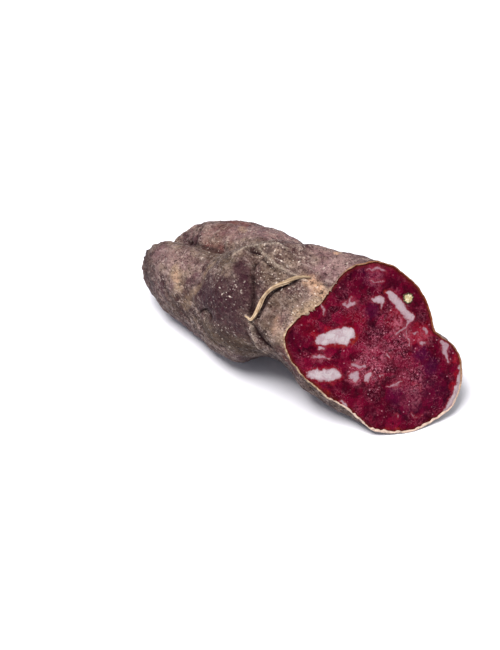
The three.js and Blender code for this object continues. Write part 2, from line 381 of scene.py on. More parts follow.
def spine_rays(share, back, angle):
    """Starts and directions: a ray turns by angle in its ring's plane, and leans backwards by back at the
    blunt end."""
    starts = CUT_CENTRE + share[:, None] * (SPINE_END - CUT_CENTRE)
    ease = smooth_step(share, 0, 0.85)[:, None]
    facing = unit(CUT_NORMAL * (1 - ease) + np.array([1.0, 0, 0]) * ease)
    level = unit(np.cross([0, 0, 1.0], facing))
    rise = np.cross(facing, level)
    ring = level[:, None] * np.cos(angle)[None, :, None] + rise[:, None] * np.sin(angle)[None, :, None]
    ways = ring * np.cos(back)[:, None, None] - (facing * np.sin(back)[:, None])[:, None]
    return np.broadcast_to(starts[:, None], ways.shape), ways


def leave_form(starts, ways):
    """Halve the stretch in which each ray leaves the plain form, then close in on the folded one, and stop
    at the table."""
    low, high = np.zeros(ways.shape[:-1]), np.full(ways.shape[:-1], RAY_LENGTH)
    for form, steps, margin in SEARCHES:
        low, high = np.maximum(low - margin, 0), high + margin * 0.4
        for _ in range(steps):
            middle = (low + high) / 2
            inside = form(starts + ways * middle[..., None]) < 0
            low, high = np.where(inside, middle, low), np.where(inside, high, middle)
    reach = (low + high) / 2
    to_table = np.where(ways[..., 2] < 0, starts[..., 2] / np.maximum(-ways[..., 2], 1e-9), np.inf)
    return starts + ways * np.minimum(reach, to_table)[..., None]


angle = full_turn(AROUND)
share = np.concatenate([np.arange(SPINE_RINGS) / SPINE_RINGS, np.ones(END_RINGS)])
back = np.concatenate([np.zeros(SPINE_RINGS), np.pi / 2 * np.arange(END_RINGS) / END_RINGS])
casing_rings = leave_form(*spine_rays(share, back, angle))
blunt_end = leave_form(SPINE_END[None, None], np.array([[[-1.0, 0, 0]]]))[0, 0]
print("casing reaches from", casing_rings.min((0, 1)).round(1), "to", casing_rings.max((0, 1)).round(1))

# %% [markdown]
# ## Wrinkles
# A dried casing is leathery: broad puckers, fine wrinkles that run together, and sharp creases. They go in
# as true relief along the surface normal, because a bump map alone leaves the outline too smooth. The
# relief dies away where the sausage rests, so that it still lies flat.

# %% Relief of the casing
TIPS = (((-82, -9.5, 23), 11, 41), ((-77, 9, 27), 13, 42))  # place, number of gathers, seed of their bends
PUCKER_REACH, PUCKER_HEIGHT = 11, 0.8


def grid_normals(rings):
    """Cross product of the steps around and along, which points out of the surface."""
    around = np.roll(rings, -1, axis=1) - np.roll(rings, 1, axis=1)
    return unit(np.cross(around, -np.gradient(rings, axis=0)))


def crease_relief(points, normals, names=tuple(CREASES)):
    """Each crease takes depth * exp(-(distance / width)^1.3) off the surface, nearly a cusp at the line
    itself."""
    relief = np.zeros(points.shape[:-1])
    for route, wide, deep in (CREASES[name] for name in names):
        relief -= deep * np.exp(-((gap_along_skin(points, normals, route) / wide) ** 1.3))
    return relief


def wrinkle_relief(points):
    """Folded noise, |noise|, has sharp valleys where the noise crosses zero. A broad and a fine one, each cut
    off at a height and bent by a slower noise, are added to a plain grain."""
    bent = points + 2.2 * np.stack([rough(points, 11, seed) for seed in (21, 22, 23)], axis=-1)
    broad = np.abs(rough(bent * (0.75, 1, 1), 6.5, 31))
    fine = np.abs(rough(bent * (0.6, 1, 1), 2.4, 32))
    grain = rough(points, 1.1, 33)
    return np.minimum(broad, 0.42) + 0.65 * np.minimum(fine, 0.45) + 0.16 * grain - 0.45


def tip_puckers(points):
    """Gathers that run into the tip of each rear lobe: a sine around the lobe's axis, only near the tip."""
    relief = np.zeros(points.shape[:-1])
    for tip, gathers, seed in TIPS:
        away = points - np.array(tip)
        turn = np.arctan2(away[..., 2], away[..., 1])
        near = np.exp(-((np.linalg.norm(away, axis=-1) / PUCKER_REACH) ** 2))
        relief += near * PUCKER_HEIGHT * np.sin(gathers * turn + 2.5 * rough(points, 7, seed))
    return relief


RAISED = ("ridge", "fold_edge", "pinch_crest", "far_line_1", "far_line_2")
MIDDLE = (0, 0, 26)
normals = grid_normals(casing_rings)
out = (normals * (casing_rings - MIDDLE)).sum(axis=-1).mean()
off_table = smooth_step(casing_rings[..., 2], 0.05, 3.5)
near_cut = 1 - smooth_step(share[:, None], 0.0, 0.03)
creased = crease_relief(casing_rings, normals)
raised = crease_relief(casing_rings, normals, RAISED)
relief = creased + wrinkle_relief(casing_rings) + tip_puckers(casing_rings)
relief += 0.9 * near_cut * rough(casing_rings, 4.5, 58)
relief *= off_table * (1 - 0.45 * near_cut)
casing_rings = casing_rings + normals * relief[..., None]
casing_rings[..., 2] = np.maximum(casing_rings[..., 2], 0)
print("normals point out:", out > 0)
print("relief from", relief.min().round(2), "to", relief.max().round(2), "mm")

# %% [markdown]
# ## The cut edge of the casing
# The knife left the casing as a thin pale rim round the meat, wavy and a little proud of it. At the upper
# left it tore, and ragged teeth lean over the meat. A Solidify modifier would give an even wall, so the rim
# is made as more rings: over the lip, down inside it, and across the bottom of the recess that takes the
# meat.

# %% Lip rings and the whole casing
cut_edge = casing_rings[0] - CUT_CENTRE
cut_reach = np.linalg.norm(cut_edge, axis=1)
edge_way = cut_edge / cut_reach[:, None]
edge_points = casing_rings[0]
TORN_EDGE = [  # across and up in the plane of the cut, where the torn casing ends over the meat
    (-38.5, 17.6), (-33.1, 21.0), (-29.2, 22.1), (-25.1, 21.9), (-24.2, 24.3), (-21.6, 25.3),
    (-20.0, 28.5), (-15.8, 29.3), (-15.0, 32.6), (-12.4, 35.2), (-8, 38.5),
]
torn_at = np.array(TORN_EDGE)[::-1]
torn_angle = np.arctan2(torn_at[:, 1], torn_at[:, 0])
torn = smooth_step(angle, torn_angle[0], torn_angle[0] + 0.15)
torn *= 1 - smooth_step(angle, torn_angle[-1] - 0.12, torn_angle[-1])
teeth = np.clip(0.4 + 1.2 * rough(edge_points, 2.3, 51) + 1.5 * rough(edge_points, 1.0, 52), 0, 2)
torn_reach = np.interp(angle, torn_angle, np.hypot(*torn_at.T))
torn_wide = np.clip(cut_reach - torn_reach, 0, 6) + 1.6 * (teeth - 0.45)
low_side = smooth_step(-np.sin(angle), 0.35, 0.85)
thin_wide = 0.55 + 0.22 * rough(edge_points, 5, 53) + 0.15 * rough(edge_points, 1.6, 56)
thin_wide += low_side * (0.15 + 1.0 * rough(edge_points, 2.4, 57))
rim_wide = np.maximum(thin_wide * (1 - torn) + np.maximum(torn_wide, 0.4) * torn, 0.35)
rim_proud = 0.28 + 0.3 * rough(edge_points, 4, 54) + 0.15 * rough(edge_points, 1.5, 55) + 0.3 * torn * teeth
RECESS = 1.6  # how far the bed of the meat lies behind the plane of the cut
LIP_OFF_TABLE = 0.2
LEAN_ROW = 6  # the ring of the casing that shows how its wall leans behind the cut


def lip_ring(inward, proud):
    """A ring at a distance in from the cut edge and a height above the plane of the cut."""
    return CUT_CENTRE + edge_way * (cut_reach - inward)[:, None] + CUT_NORMAL * proud[:, None]


def wall_lean():
    """How far the casing's wall closes in for each millimetre behind the cut, or 0 where it opens out."""
    away = casing_rings[LEAN_ROW] - CUT_CENTRE
    behind = -(away @ CUT_NORMAL)
    level_reach = np.linalg.norm(away + behind[:, None] * CUT_NORMAL, axis=1)
    return np.maximum((cut_reach - level_reach) / behind, 0)


lean_in = wall_lean()
lip = np.stack(
    [
        lip_ring(rim_wide + 0.2 + RECESS * lean_in, np.full(AROUND, -RECESS)),
        lip_ring(rim_wide + 0.1 + 0.6 * lean_in, np.full(AROUND, -0.6)),
        lip_ring(rim_wide, 0.55 * rim_proud),
        lip_ring(0.75 * rim_wide, 0.95 * rim_proud),
        lip_ring(0.35 * rim_wide, rim_proud),
        lip_ring(0.08 * rim_wide, 0.55 * rim_proud),
    ]
)
lip[..., 2] = np.maximum(lip[..., 2], LIP_OFF_TABLE)
recess_floor = CUT_CENTRE - RECESS * CUT_NORMAL
whole_rings = np.concatenate([lip, casing_rings])
casing = make_piece("casing", *closed_rings(whole_rings, recess_floor, blunt_end))
print("rim is", rim_wide.min().round(2), "to", rim_wide.max().round(2), "mm wide")
print("the wall leans in by up to", lean_in.max().round(2))

# %% [markdown]
# ## Colour areas of the casing
# The casing isn't one brown. Fat shows through as tan spots, the hump is dark purple where lean meat lies
# under it, the far lobe is reddish, and the creases hold ochre fat. Shade is painted in too: darker along
# the creases and folds, under the arch, beside the strand and between the lobes, with some grime. Texture
# painting would need an image, so each area is a short line on the surface with a radius, stored as a number
# per point for the material to mix.

# %% Areas on the casing
CASING_AREAS = {  # name: (from, to, radius, strength)
    "tan": [
        ((-56.4, -20.2, 38.2), (-51.5, -24.2, 34.6), 3.0, 0.8),
        ((-46.6, 17.6, 44.8), (-43, 16, 45.5), 1.8, 0.6),
        ((-37.8, -13.1, 48.8), (-38.1, -20.2, 44.8), 1.3, 0.5),
        ((-37.7, -23.5, 41.6), (-41, -25.5, 36), 1.8, 0.45),
        ((-42.5, -26.8, 31.6), (-44, -27, 27), 2.2, 0.4),
        ((15.5, -6.4, 61.8), (20, -6.5, 60.5), 2.6, 0.75),
        ((26.1, -0.1, 62.2), (23.1, -9.2, 57.6), 1.9, 0.6),
        ((23, -9.2, 57.6), (18.2, -20.5, 53.9), 2.6, 0.9),
        ((14.6, -29.1, 48.4), (19.4, -31.3, 43.6), 2.2, 0.5),
        ((12.5, 15.9, 63.7), (14, 15, 64), 1.3, 0.8),
        ((20, 24, 57), (27, 25, 56), 4.0, 0.6),
        ((-20, 33, 30), (-34, 35, 26), 4.0, 0.6),
        ((-62, 34, 18), (-52, 37, 22), 3.5, 0.7),
        ((12, 30, 30), (17, 32, 22), 2.6, 0.8),
        ((58, 33, 24), (66, 33, 18), 3.0, 0.6),
    ],
    "peach": [
        ((13.5, -6.4, 62.2), (18, -6.3, 61.1), 3.0, 1.0),
        ((18, -6.3, 61.1), (21.5, -7.5, 59.5), 2.2, 0.8),
        ((12.7, 14.1, 64.4), (13.5, 13.5, 64.6), 1.1, 0.9),
        ((-55.5, -21.2, 37.6), (-53, -23.4, 35.6), 1.4, 0.35),
        ((11.2, -26.4, 51.7), (13.4, -30.5, 46.8), 1.4, 0.25),
    ],
    "purple": [
        ((-31, -27.5, 42), (-12, -29, 49.5), 8.5, 1.0),
        ((-23, -25.5, 51.5), (-12, -23.5, 56), 4.5, 0.95),
        ((-4.5, -19.5, 57.5), (-0.9, -22, 55.5), 3.0, 0.55),
        ((-17.8, -17.7, 59.5), (-7.5, -23.7, 54.8), 4.2, 1.0),
        ((-7.5, -23.7, 54.8), (-5.6, -27.4, 51.7), 3.0, 1.0),
        ((-34, -26.5, 42), (-20.6, -28.7, 48.2), 5.5, 0.85),
        ((-16, -28.4, 50), (-7, -28, 50.5), 5, 1.0),
        ((-24, -30.5, 38), (-6, -32.5, 41), 5.5, 0.85),
        ((-18, -33.5, 34), (-9, -34, 38), 5, 0.5),
        ((-36, 38, 22), (-8, 33, 34), 7, 0.45),
        ((28, 29, 45), (46, 28, 38), 7, 0.45),
        ((0, 28, 44), (10, 24, 52), 6, 0.5),
        ((-78, 22, 22), (-70, 32, 16), 6, 0.6),
    ],
    "red": [
        ((-56.7, 23.5, 40.1), (-48.1, 23.2, 43.0), 3.2, 0.9),
        ((-57.5, 3.5, 38.8), (-49, 3.5, 40.5), 3.2, 0.6),
        ((-60, 12, 39), (-50, 12, 43), 6.0, 0.3),
        ((20.5, -31.8, 41.5), (26, -31.2, 31), 3.2, 0.6),
    ],
    "mauve": [
        ((16.6, 4.7, 65.5), (24, 6, 66), 6.5, 0.9),
        ((5.2, 11.8, 63.6), (16, 12, 65), 5.0, 0.7),
        ((-56, -16, 41), (-70, -14, 37), 6.0, 0.55),
        ((-46, 14, 45.5), (-25.6, 20.9, 49.6), 7.5, 0.65),
    ],
    "olive": [
        ((-24, -32.5, 27), (-4, -33, 30), 8, 1.0),
        ((5.8, -21.3, 56.0), (7.9, -28.7, 50.1), 4.5, 0.75),
        ((-45, -6.2, 44), (-25, -16, 56.5), 5, 0.7),
        ((9.8, -19.1, 56.8), (14.4, -17.6, 56.6), 4, 0.6),
        ((-5, -12, 62.5), (4, -14, 61), 5, 0.55),
        ((30, 33, 22), (60, 35, 12), 9, 0.8),
        ((-50, 36, 14), (-20, 36, 12), 8, 0.8),
    ],
    "ochre": [
        ((-12.0, -16.0, 61.0), (-3.7, -24.6, 54.6), 1.1, 0.9),
        ((-3.7, -24.6, 54.6), (-0.7, -29.6, 49.8), 0.9, 0.7),
    ],
    # painted shade with some grime: darker in the dimple, creases, folds and furrow, under the arch, beside
    # the strand, between the lobes and at the lobe tips
    "shade_and_soiling": [
        ((-20.5, -5.1, 61.8), (-17, -4.6, 63), 1.8, 0.9),
        ((-78, -14, 30), (-74, -20, 26), 6.0, 0.6),
        ((-54.6, 1.3, 39.3), (-54.6, 1.8, 39.4), 0.7, 0.9),
        ((-43.5, 1.8, 42.3), (-41, 2.4, 43), 1.0, 0.9),
        ((-78, 14, 28), (-76, 22, 26), 3.0, 0.7),
        ((-65, 2.6, 35.2), (-57, 2.0, 37.4), 1.9, 0.85),
        ((-57, 2.0, 37.4), (-44, 2.0, 40.4), 2.0, 0.9),
        ((-24.5, -9.5, 59), (-20, -3, 61.2), 1.6, 0.6),
        ((-15.1, -34, 31), (3.6, -30.5, 28), 3.4, 0.6),
        ((2.8, -31.7, 43.7), (11, -32.6, 38.5), 2.1, 0.85),
        ((-7.9, -19.3, 56.2), (-3.7, -23.9, 52.0), 1.1, 0.7),
        ((-3.7, -23.9, 52.0), (-1.8, -28.7, 47.7), 1.5, 0.9),
        ((2.8, -18.8, 57.1), (1.9, -22.6, 54.6), 1.0, 0.7),
        ((1.9, -22.6, 54.6), (1.6, -28.3, 47.8), 1.2, 0.9),
        ((10, -27, 19), (-5, -20, 9), 9, 1.0),
        ((-28.1, -30, 35.1), (-25, -31, 34), 0.9, 0.8),
    ],
    "dust": [
        ((-6, -13.5, 61.5), (5, -13.5, 61), 6, 1.0),
        ((-14, -2, 64), (8, -2, 65), 5, 0.8),
        ((20, -9, 59), (18, -22, 53), 5, 0.9),
        ((-24, -32, 30), (-4, -33, 31), 6, 0.8),
        ((-30, -22, 49), (-14, -26, 52), 5, 0.5),
        ((-52, -8, 42), (-32, -8, 48), 6, 0.4),
        ((4, -24, 55), (12, -30, 47), 5, 0.6),
        ((-40, 16, 46), (-30, 18, 49), 5, 0.4),
        ((24, 28, 50), (40, 30, 42), 8, 0.35),
        ((-50, 36, 24), (-30, 36, 32), 7, 0.5),
    ],
}


def line_gap(points, start, end):
    """Distance to a straight line between two places, from the nearest share of the way along it."""
    start, end = np.array(start, dtype=float), np.array(end, dtype=float)
    way = end - start
    part = np.clip(((points - start) @ way) / max(way @ way, 1e-9), 0, 1)
    return np.linalg.norm(points - start - part[..., None] * way, axis=-1)


def area_strength(points, lines, seed):
    """The strongest of the lines at each point: 1 well inside its radius, fading out past it, with a ragged
    edge."""
    ragged = 1 + 0.45 * layered(points, 5, seed)
    fades = []
    for start, end, radius, hold in lines:
        fades.append(hold * (1 - smooth_step(line_gap(points, start, end) * ragged / radius, 0.35, 1.5)))
    return np.max(fades, axis=0)


def behind_lip(values):
    """The numbers of the casing's own rings, with 0 on the rings of the lip."""
    return np.concatenate([np.zeros((len(lip), AROUND)), values])


flat_points, _, _ = closed_rings(whole_rings, recess_floor, blunt_end)
for seed, (area, lines) in enumerate(CASING_AREAS.items(), 61):
    paint_on(casing, area, area_strength(flat_points, lines, seed))

RIM_ON_CASING = 0.45  # how much of the rim's colour the first ring behind the lip still has
BROWN_AT = np.radians(35)
on_lip = np.zeros(whole_rings.shape[:2])
on_lip[: len(lip)] = 1
on_lip[len(lip)] = RIM_ON_CASING
brown_side = np.clip(np.cos(angle - BROWN_AT), 0, 1) ** 0.7
paint_rings(casing, "rim", on_lip * (1 - 0.65 * torn), first=1)
paint_rings(casing, "rim_brown", np.tile(brown_side, len(whole_rings)))
paint_rings(casing, "rim_white", np.tile(low_side, len(whole_rings)))
# painted shade: darker along the creases and in every hollow of the relief
crease_shade = np.clip(-creased * 0.8 - 0.08, 0, 0.85) + np.clip(-relief * 0.5 - 0.15, 0, 0.3)
# painted highlight: paler along the raised edges
raised_highlight = np.clip(raised * 0.9, 0, 1) ** 2 * (0.8 + 0.35 * rough(casing_rings, 4, 59))
# painted shade: darker where the casing faces down
paint_rings(casing, "low", behind_lip(1 - smooth_step(normals[..., 2], 0.1, 0.95)))
paint_rings(casing, "raised_highlight", behind_lip(raised_highlight))
paint_rings(casing, "crease_shade", behind_lip(crease_shade))
print("casing carries", len(casing.data.attributes), "layers of numbers")

# %% [markdown]
# ## A short way to write materials
# A material is a small network of nodes. The helper below keeps one network and adds nodes with plain
# names, so a finish reads like a recipe. All patterns use Object coordinates, so they stay fixed to the
# piece in every view.

# %% Recipe helper for node materials


def paint(red, green, blue):
    """A colour as a camera would show it, 0 to 255, turned into the linear light that a shader takes."""
    shown = np.array([red, green, blue]) / 255
    linear = np.where(shown <= 0.04045, shown / 12.92, ((shown + 0.055) / 1.055) ** 2.4)
    return (*linear.tolist(), 1.0)


def feed(tree, socket, value):
    """Link an output into a socket, or set the socket to a constant."""
    if isinstance(value, bpy.types.NodeSocket):
        tree.links.new(value, socket)
    else:
        socket.default_value = value


def add_node(tree, kind, inputs, **settings):
    """The outputs of a new node, after its settings are made and its inputs are fed."""
    node = tree.nodes.new("ShaderNode" + kind)
    for name, value in settings.items():
        setattr(node, name, value)
    for socket, value in inputs.items():
        feed(tree, node.inputs[socket], value)
    return node.outputs


class Recipe:
    """The nodes of one material, and the colour that has been mixed so far. A tint is red, green and blue."""

    def __init__(self, name, roughness, **constants):
        self.material = bpy.data.materials.new(name)
        self.material.use_nodes = True
        self.tree = self.material.node_tree
        self.shader = self.tree.nodes["Principled BSDF"]
        self.shader.inputs["Roughness"].default_value = roughness
        for socket, value in constants.items():
            self.shader.inputs[socket.replace("_", " ")].default_value = value
        self.place = add_node(self.tree, "TexCoord", {})["Object"]
        self.colour = None

    def layer(self, name):
        """The numbers painted on the piece under a name."""
        return add_node(self.tree, "Attribute", {}, attribute_name=name)["Fac"]

    def stretched(self, scale, turn):
        """Object coordinates, stretched and turned so that a pattern runs in one direction."""
        inputs = {"Vector": self.place, "Scale": scale, "Rotation": turn}
        return add_node(self.tree, "Mapping", inputs)["Vector"]

    def noise(self, size, detail=3.0, roughness=0.55, twist=0.0, place=None):
        """Cloudy noise with features of a size in millimetres, from 0 to 1."""
        inputs = {"Scale": 1000 / size, "Detail": detail, "Roughness": roughness, "Distortion": twist}
        return add_node(self.tree, "TexNoise", {**inputs, "Vector": place or self.place})["Fac"]

    def specks(self, size, place=None):
        """Distance to the nearest of scattered dots, and a random shade for each dot."""
        dots = add_node(self.tree, "TexVoronoi", {"Scale": 1000 / size, "Vector": place or self.place})
        return dots["Distance"], add_node(self.tree, "SeparateColor", {"Color": dots["Color"]})["Red"]

    def band(self, value, low, high, start=0.0, end=1.0):
        """A value carried smoothly from low..high to start..end."""
        inputs = {"Value": value, "From Min": low, "From Max": high, "To Min": start, "To Max": end}
        return add_node(self.tree, "MapRange", inputs, interpolation_type="SMOOTHSTEP")["Result"]

    def patches(self, noise, low, high, start=0.0, end=1.0):
        """A band of a noise, whose size and further numbers come as one tuple."""
        return self.band(self.noise(*noise), low, high, start, end)

    def flecks(self, size, reach, rare, spread, place=None):
        """Dots that are solid within 0.3 of their reach, and gone where their shade is below rare."""
        gap, shade = self.specks(size, place)
        return self.times(self.band(gap, reach * 0.3, reach, 1, 0), self.band(shade, rare, rare + spread))

    def sum(self, kind, first, *others):
        """One step of arithmetic after another, such as ADD or ABSOLUTE."""
        total = first
        for other in others or (0.0,):
            total = add_node(self.tree, "Math", {0: total, 1: other}, operation=kind)[0]
        return total

    def times(self, *values):
        """The product of the values."""
        return self.sum("MULTIPLY", *values)

    def plus(self, *values):
        """The sum of the values."""
        return self.sum("ADD", *values)

    def mix(self, share, first, second):
        """Two colours blended: (1 - share) * first + share * second. Each is an output or a tint."""
        tints = [paint(*tint) if isinstance(tint, tuple) else tint for tint in (first, second)]
        return add_node(self.tree, "Mix", {0: share, 6: tints[0], 7: tints[1]}, data_type="RGBA")[2]

    def lay(self, share, tint):
        """Blend a tint over the colour so far, as strongly as the share says."""
        self.colour = self.mix(share, self.colour, tint)

    def bump(self, height, depth_mm):
        """Relief too fine for the mesh, of a depth in millimetres."""
        return add_node(self.tree, "Bump", {"Height": height, "Distance": depth_mm * MM})["Normal"]

    def dress(self, piece, normal=None, roughness=None):
        """Give the finished material to a piece."""
        for socket, value in (("Base Color", self.colour), ("Normal", normal), ("Roughness", roughness)):
            if value is not None:
                feed(self.tree, self.shader.inputs[socket], value)
        piece.data.materials.append(self.material)


# %% [markdown]
# ## Finish of the dried casing
# Gut dries to a dull grey-brown skin with a leathery grain, and good mould leaves small pale flecks on it.
# Layers are mixed from the bottom up: the skin's own cloudy brown, what shows through it, painted shade
# where the skin faces down, painted highlights on raised edges, painted shade with some grime in the creases
# and hollows, and the flecks on top.

# %% Casing material
skin = Recipe("dried_casing", 0.5, Specular_IOR_Level=0.07, Sheen_Weight=0.02, Sheen_Roughness=0.3)
region = skin.patches((30, 3, 0.55, 0.8), 0.4, 0.6)
pale = skin.mix(region, (150, 124, 118), (140, 120, 106))
dull = skin.mix(region, (98, 68, 74), (94, 74, 66))
skin.colour = skin.mix(skin.patches((8, 4, 0.6, 0.6), 0.38, 0.62), dull, pale)
lean_under = skin.patches((20, 3, 0.6, 1.2), 0.42, 0.58, 0.2, 1)
skin.lay(skin.times(skin.patches((4.2, 5, 0.74, 0.9), 0.44, 0.6, 0, 0.85), lean_under), (58, 31, 35))
# painted shade: darker where the casing faces down
skin.lay(skin.times(skin.layer("low"), 0.48), (46, 29, 30))
bloom_grain = skin.stretched((0.6, 1, 1), (1.1, 0.4, 0.7))
skin.lay(skin.patches((3.0, 5, 0.72, 0.4, bloom_grain), 0.5, 0.66, 0, 0.6), (174, 153, 146))
gut_grain = skin.stretched((0.3, 1, 1), (0.1, 0.1, -0.25))
skin.lay(skin.patches((1.6, 3, 0.6, 0.6, gut_grain), 0.54, 0.66, 0, 0.35), (72, 48, 50))
for area, tint, hold in (
    ("olive", (86, 71, 56), 0.85),
    ("mauve", (146, 112, 115), 0.75),
    ("red", (114, 60, 58), 0.8),
    ("purple", (52, 24, 34), 0.95),
    ("tan", (172, 145, 118), 0.8),
    ("peach", (204, 162, 134), 0.9),
    ("ochre", (140, 106, 56), 0.85),
):
    skin.lay(skin.times(skin.layer(area), skin.patches((1.9, 4, 0.65), 0.34, 0.6, 0.75, 1.0), hold), tint)

# painted highlight along the raised edges
skin.lay(skin.times(skin.layer("raised_highlight"), 0.9), (172, 156, 142))
skin.lay(skin.patches((1.7, 4, 0.7, 0.8), 0.55, 0.66, 0, 0.9), (38, 18, 20))
grit_room = skin.patches((5, 3, 0.6), 0.4, 0.6, 0.3, 1)
skin.lay(skin.times(skin.patches((0.8, 2, 0.7), 0.49, 0.61, 0, 0.62), grit_room), (40, 21, 23))
bare = skin.sum("SUBTRACT", 1.0, skin.times(skin.layer("purple"), 0.75))
chaff_room = skin.times(skin.patches((7, 3, 0.6), 0.45, 0.62, 0.1, 0.8), bare)
chaff_grain = skin.stretched((0.7, 1, 1), (0.3, 0.5, 0.8))
chaff = skin.patches((0.95, 2, 0.7, 0.0, chaff_grain), 0.55, 0.67, 0, 0.55)
skin.lay(skin.times(chaff, chaff_room), (206, 188, 176))
# painted shade in the creases, hollows and along the shade lines, with some grime
crease_shade_and_soiling = skin.sum("MAXIMUM", skin.layer("crease_shade"), skin.layer("shade_and_soiling"))
skin.lay(skin.times(crease_shade_and_soiling, 0.85), (32, 14, 16))

gap, shade = skin.specks(1.2, skin.stretched((1, 0.6, 1), (0.2, 0.9, 0.3)))
skin.lay(skin.times(skin.band(gap, 0.12, 0.34, 1, 0), skin.band(shade, 0.35, 0.85, 0, 0.8)), (26, 10, 12))
settled = skin.patches((14, 3, 0.6, 0.5), 0.42, 0.6, 0.12, 0.55)
dust = skin.plus(skin.times(skin.layer("dust"), 0.6), settled)
for size, reach, rare, place in (
    (2.1, 0.24, 0.35, skin.stretched((0.5, 1, 1), (0.4, 0.3, 0.9))),
    (2.9, 0.2, 0.3, skin.stretched((1, 0.45, 1), (0.5, 0.2, 0.4))),
    (1.3, 0.3, 0.45, None),
):
    skin.lay(skin.times(skin.flecks(size, reach, rare, 0.5, place), dust), (218, 202, 190))
rim_tone = skin.mix(skin.patches((1.8, 4, 0.65), 0.38, 0.62), (196, 170, 140), (132, 100, 76))
rim_tone = skin.mix(skin.layer("rim_brown"), rim_tone, (128, 74, 44))
rim_tone = skin.mix(skin.times(skin.layer("rim_white"), 0.75), rim_tone, (216, 192, 178))
skin.lay(skin.layer("rim"), rim_tone)
grain = skin.plus(skin.times(skin.noise(0.9, 3, 0.5), 0.25), skin.times(skin.noise(3.0, 5, 0.62, 0.8), 2.2))
skin.dress(casing, skin.bump(grain, 1.1), skin.patches((3, 3), 0.3, 0.7, 0.45, 0.7))
print("casing finish has", len(skin.tree.nodes), "nodes")

# %% [markdown]
# ## The cut meat
# The knife shows dark, moist lean meat in coarse grains, with white and pink pieces of fat. The whole face
# is one puck that fills the recess. Its front is a dense polar grid, radius times share against angle, so
# that the torn middle, the pits and the fat get real relief. Each fat piece is a chain of discs, like a
# pebble seen in section.

# %% Fat pieces as chains of discs
FAT = {  # (across, up, radius) for each disc, in the plane of the cut, and how pink it is
    "large_white": ([(-25.2, 8.0, 2.3), (-19.2, 8.2, 3.3), (-13.7, 7.9, 4.5), (-10.9, 8.2, 3.0)], 0.05),
    "large_white_bit": ([(-25.8, 4.2, 1.0), (-23.8, 4.0, 0.8)], 0.4),
    "low_white": ([(-32.2, -5.9, 1.5), (-27.3, -7.8, 2.8), (-22.0, -8.7, 3.1), (-19.7, -9.1, 2.1)], 0.1),
    "thin_pink": ([(-29.7, 1.4, 0.5), (-26.1, 0.4, 0.9), (-22.2, -1.2, 0.5)], 0.7),
    "notch_sliver": ([(-22.0, 24.7, 0.5), (-21.9, 21.9, 0.7), (-21.5, 19.5, 0.4)], 0.6),
    "upper_wisp": ([(-12.3, 22.9, 0.6), (-9.7, 21.2, 1.1), (-6.7, 21.8, 1.0)], 0.6),
    "upper_wisp_stem": ([(-9.7, 21.2, 0.5), (-7.0, 25.0, 0.35)], 0.8),
    "pale_blue": ([(1.8, 21.3, 1.0), (4.1, 21.8, 1.9), (5.8, 20.1, 1.5)], 0.35),
    "pale_blue_stem": ([(5.6, 19.5, 0.8), (5.9, 17.0, 0.4)], 0.6),
    "bar": ([(9.6, 23.4, 1.2), (10.8, 22.0, 1.9), (13.2, 18.4, 2.1), (16.2, 13.9, 2.2),
             (18.7, 10.7, 1.8)], 0.4),
    "bar_hook": ([(17.8, 8.9, 0.9), (15.5, 6.3, 0.8), (12.6, 4.7, 0.6), (9.7, 4.1, 0.4)], 0.75),
    "bar_tail": ([(15.7, 5.6, 0.5), (16.1, 1.5, 0.45), (16.8, -2.8, 0.35)], 0.8),
    "red_patch_1": ([(19.5, 2.4, 0.9), (21.2, 3.0, 0.6)], 0.9),
    "red_patch_2": ([(24.2, 3.4, 1.2), (25.0, 1.8, 0.6)], 0.85),
    "red_patch_3": ([(22.1, -2.2, 1.0), (23.7, -2.2, 0.7)], 0.75),
    "edge_fat": ([(32.3, -3.6, 1.2), (33.3, -6.3, 1.9), (32.9, -9.4, 1.2), (33.9, -13.8, 0.5)], 0.6),
    "cream_rim": (
        [(39.9, -15.9, 1.1), (39.6, -20.9, 1.6), (37.4, -25.9, 1.9), (35.2, -30.0, 1.9),
         (32.2, -33.6, 1.8), (28.8, -36.7, 1.2)],
        0.15,
    ),
    "small_mid": ([(5.7, -4.4, 0.65), (6.4, -6.4, 0.45)], 0.5),
    "cluster_a": ([(-13.2, -11.6, 1.4), (-10.3, -11.0, 1.9), (-11.5, -13.4, 1.3)], 0.45),
    "cluster_b": ([(-6.4, -13.6, 1.5), (-4.1, -11.7, 1.3)], 0.45),
    "cluster_haze": ([(-11.5, -6.3, 0.8), (-9, -7.4, 1.2), (-6.2, -7.6, 0.9)], 0.8),
    "speck_low": ([(0.3, -14.0, 0.6), (2.0, -13.7, 0.4)], 0.6),
    "streak_low": ([(4.1, -19.2, 0.5), (7.1, -18.9, 0.8), (10.1, -18.2, 0.4)], 0.7),
    "rim_fat": ([(-19.5, -22.0, 0.7), (-18.0, -24.6, 1.3), (-17.4, -27.2, 0.9)], 0.5),
    "curl_1": ([(5.7, -33.0, 0.3), (6.3, -34.3, 0.3), (6.0, -35.3, 0.3)], 0.7),
    "curl_2": ([(12.6, -34.0, 0.25), (14.2, -35.7, 0.3), (17.4, -36.0, 0.25)], 0.7),
    "curl_3": ([(15.6, -20.5, 0.3), (18.4, -21.6, 0.3), (18.8, -24.4, 0.25)], 0.8),
    "top_streak_1": ([(1.3, 35.5, 0.5), (5.8, 35.3, 0.8), (9.9, 33.3, 0.5)], 1.0),
    "top_streak_2": ([(3.1, 30.5, 0.4), (5.9, 29.8, 0.5), (8.5, 29.7, 0.4)], 0.9),
}
